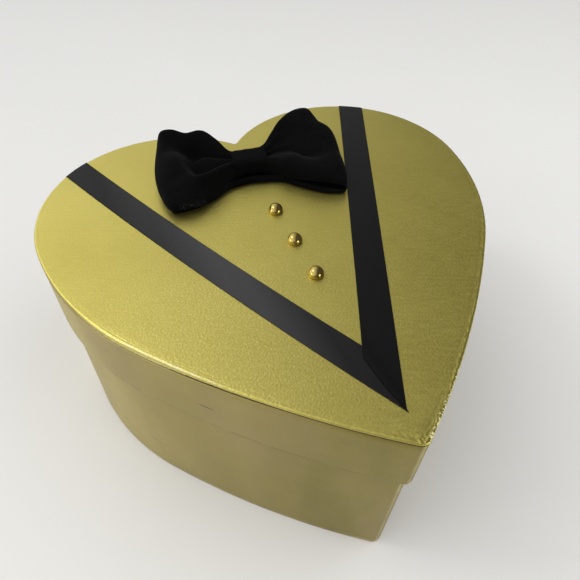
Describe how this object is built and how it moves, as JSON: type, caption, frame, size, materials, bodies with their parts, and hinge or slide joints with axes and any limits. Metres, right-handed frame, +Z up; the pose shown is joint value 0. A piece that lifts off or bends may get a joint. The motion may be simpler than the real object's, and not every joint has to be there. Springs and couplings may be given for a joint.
{
  "type": "heart-shaped gift box",
  "caption": "Heart-shaped papier-mache gift box with a lift-off slip lid, painted gold and dressed as a dinner jacket with ribbon lapels, a velvet bow and ball studs.",
  "frame": {"origin": "on the table under the middle of the lid's outline", "axes": "+Z up, the heart's tip toward -Y and its cleft toward +Y, +X across the lobes"},
  "size_m": [0.254, 0.2454, 0.1493],
  "materials": {
    "gold_top_paper": "brushed metallic gold paint",
    "gold_side_paper": "satin metallic gold paint",
    "kraft_paper": "plain brown paper",
    "board": "plain brown board",
    "tape": "gummed brown paper",
    "ribbon": "black satin ribbon",
    "velvet": "black velvet",
    "stud_metal": "polished gold",
    "glue": "clear glue"
  },
  "bodies": {
    "base": {"base_underside_paper": "kraft_paper", "base_floor_board": "board", "base_wall_board": "board", "base_cleft_tape": "tape", "base_wall_paper": "gold_side_paper", "base_floor_lining": "kraft_paper"},
    "lid": {"lid_top_board": "board", "lid_rim_board": "board", "lid_cleft_tape": "tape", "lid_top_paper": "gold_top_paper", "lid_rim_paper": "gold_side_paper", "lid_top_lining": "kraft_paper", "lapel_ribbon_left": "ribbon", "lapel_ribbon_right": "ribbon", "bow_left_wing": "velvet", "bow_right_wing": "velvet", "bow_knot_band": "velvet", "bow_glue_pad": "glue", "stud_upper": "stud_metal", "stud_middle": "stud_metal", "stud_lower": "stud_metal", "stud_glue_dots": "glue"}
  },
  "joints": [
    {"name": "lid_lift", "type": "slide", "parent": "base", "child": "lid", "axis": [0, 0, 1], "range_m": [0, 0.15]}
  ]
}
